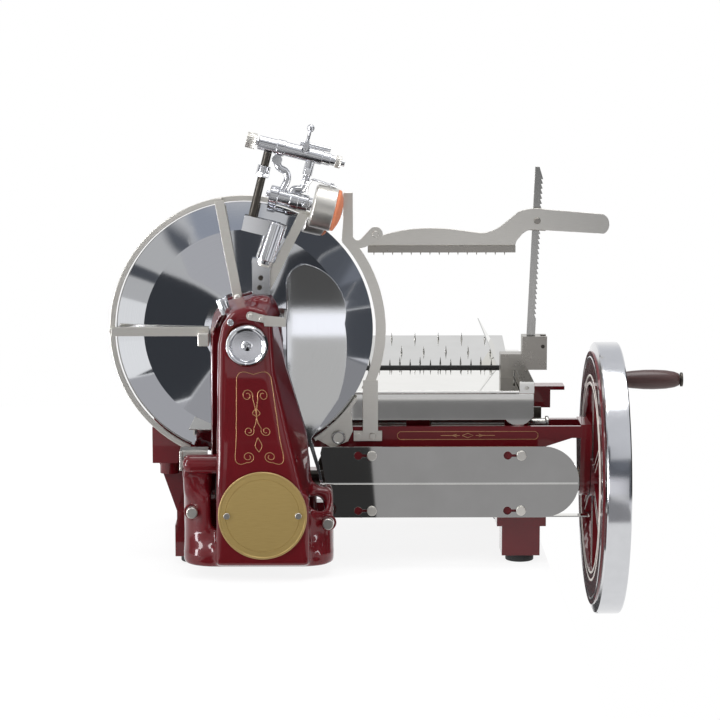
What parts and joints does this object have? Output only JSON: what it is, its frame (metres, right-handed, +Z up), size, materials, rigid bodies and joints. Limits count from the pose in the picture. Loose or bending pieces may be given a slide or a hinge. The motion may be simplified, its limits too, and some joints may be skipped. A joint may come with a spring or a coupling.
{
  "type": "hand crank meat slicer",
  "caption": "Hand cranked flywheel slicer with a round dished blade on a column, a chain driven sliding carriage, spiked table, toothed meat clamp, sharpener and spoked wheel.",
  "frame": {"origin": "middle of the four bench bolt holes, at the underside of the rubber feet", "axes": "+X from the blade to the flywheel, +Y away from the person who turns the wheel, +Z up"},
  "size_m": [0.7205, 0.4875, 0.6251],
  "materials": {
    "burgundy_enamel": "high gloss enamel with fine gold lining",
    "polished_steel": "polished, faintly turned",
    "ground_steel": "ground",
    "dark_steel": "oiled, dark",
    "chrome": "bright plating",
    "satin_nickel": "satin nickel plating",
    "brass": "lightly aged",
    "bronze": "turned bronze",
    "black_rubber": "matt",
    "dark_wood": "lacquered",
    "abrasive": "vitrified abrasive"
  },
  "bodies": {
    "frame": {"base_casting": "burgundy_enamel", "column_casting": "burgundy_enamel", "foot_rubbers": "black_rubber", "plinth_bolts": "satin_nickel", "hub_cap": "chrome", "name_disc": "brass", "front_beam": "burgundy_enamel", "wheel_bracket": "burgundy_enamel", "rail_rods": "ground_steel", "chain_cover": "polished_steel", "machine_screws": "satin_nickel", "shaft_bushes": "bronze", "oil_cups": "chrome", "blade_chain": "dark_steel", "carriage_chain": "dark_steel", "guard_ring": "polished_steel", "guard_straps": "polished_steel", "strap_clamps": "chrome", "rim_guard": "satin_nickel", "guard_brackets": "satin_nickel", "lower_guard": "satin_nickel", "slice_deflector": "polished_steel", "slice_tray": "chrome", "sharpener_pedestal": "chrome"},
    "blade": {"blade": "polished_steel", "blade_flange": "ground_steel", "blade_shaft": "ground_steel", "blade_sprocket": "dark_steel"},
    "flywheel": {"wheel_casting": "burgundy_enamel", "wheel_rim": "chrome", "handle_pin": "chrome", "main_shaft": "ground_steel", "shaft_gears": "dark_steel"},
    "grip": {"handle_grip": "dark_wood"},
    "cross_drive": {"cross_shaft": "ground_steel", "cross_gears": "dark_steel"},
    "stub_drive": {"stub_shaft": "ground_steel", "stub_gears": "dark_steel"},
    "idler": {"idler_sprocket": "dark_steel"},
    "carriage": {"carriage_frame": "burgundy_enamel", "carriage_bushes": "bronze", "carriage_skirt": "polished_steel", "drive_yoke": "ground_steel"},
    "table": {"table_plate": "polished_steel", "table_spikes": "ground_steel", "rubber_strip": "black_rubber", "side_fence": "ground_steel", "rack_block": "satin_nickel", "rack_bar": "polished_steel"},
    "feed_screw": {"feed_screw": "ground_steel"},
    "clamp_shoe": {"rack_shoe": "satin_nickel"},
    "clamp_arm": {"clamp_arm": "satin_nickel", "tooth_strip": "ground_steel"},
    "rack_latch": {"rack_latch": "satin_nickel"},
    "sharpener": {"guide_rod": "dark_steel", "sharpener_head": "chrome", "stone_drum": "chrome"},
    "stone": {"sharpening_stone": "abrasive"},
    "sharpener_knobs": {"sharpener_knobs": "chrome"},
    "sharpener_lever": {"sharpener_lever": "chrome"}
  },
  "joints": [
    {"name": "flywheel_spin", "type": "hinge", "parent": "frame", "child": "flywheel", "pos_m": [0, -0.121, 0.105], "axis": [1, 0, 0], "continuous": true},
    {"name": "grip_spin", "type": "hinge", "parent": "flywheel", "child": "grip", "pos_m": [0.37, -0.121, 0.231], "axis": [1, 0, 0], "continuous": true},
    {"name": "blade_spin", "type": "hinge", "parent": "frame", "child": "blade", "pos_m": [-0.141, -0.2, 0.3], "axis": [0, 1, 0], "continuous": true},
    {"name": "cross_spin", "type": "hinge", "parent": "frame", "child": "cross_drive", "pos_m": [-0.141, -0.2, 0.105], "axis": [0, 1, 0], "continuous": true},
    {"name": "stub_spin", "type": "hinge", "parent": "frame", "child": "stub_drive", "pos_m": [-0.02, -0.08, 0.105], "axis": [0, 1, 0], "continuous": true},
    {"name": "idler_spin", "type": "hinge", "parent": "frame", "child": "idler", "pos_m": [0.2, -0.064, 0.105], "axis": [0, 1, 0], "continuous": true},
    {"name": "carriage_slide", "type": "slide", "parent": "frame", "child": "carriage", "axis": [1, 0, 0], "range_m": [-0.2765, 0]},
    {"name": "table_feed", "type": "slide", "parent": "carriage", "child": "table", "axis": [0, 1, 0], "range_m": [0, 0.13]},
    {"name": "feed_screw_spin", "type": "hinge", "parent": "carriage", "child": "feed_screw", "pos_m": [0.072, 0, 0.205], "axis": [0, 1, 0], "range_deg": [0, 4690]},
    {"name": "clamp_slide", "type": "slide", "parent": "table", "child": "clamp_shoe", "axis": [0.0427, 0, 0.9991], "range_m": [-0.12, 0.04]},
    {"name": "clamp_tilt", "type": "hinge", "parent": "clamp_shoe", "child": "clamp_arm", "pos_m": [0.23191, -0.038, 0.42486], "axis": [0, 1, 0], "range_deg": [0, 6]},
    {"name": "latch_press", "type": "hinge", "parent": "table", "child": "rack_latch", "pos_m": [0.2405, -0.031, 0.262], "axis": [0, 1, 0], "range_deg": [-10, 0]},
    {"name": "sharpener_lower", "type": "slide", "parent": "frame", "child": "sharpener", "axis": [0.2419, 0, 0.9703], "range_m": [-0.012, 0]},
    {"name": "stone_spin", "type": "hinge", "parent": "sharpener", "child": "stone", "pos_m": [-0.06389, -0.188, 0.46114], "axis": [0.9703, 0, -0.2419], "continuous": true},
    {"name": "knob_turn", "type": "hinge", "parent": "sharpener", "child": "sharpener_knobs", "pos_m": [-0.07884, -0.188, 0.52516], "axis": [0.9703, 0, -0.2419], "continuous": true},
    {"name": "lever_press", "type": "hinge", "parent": "sharpener", "child": "sharpener_lever", "pos_m": [-0.06374, -0.188, 0.52788], "axis": [0, 1, 0], "range_deg": [0, 35]}
  ],
  "couplings": [
    {"joint": "cross_spin", "follows": "flywheel_spin", "ratio": 1},
    {"joint": "blade_spin", "follows": "flywheel_spin", "ratio": 1.6},
    {"joint": "stub_spin", "follows": "flywheel_spin", "ratio": -1},
    {"joint": "idler_spin", "follows": "flywheel_spin", "ratio": -1},
    {"joint": "feed_screw_spin", "follows": "table_feed", "rad_per_m": 628.32}
  ]
}
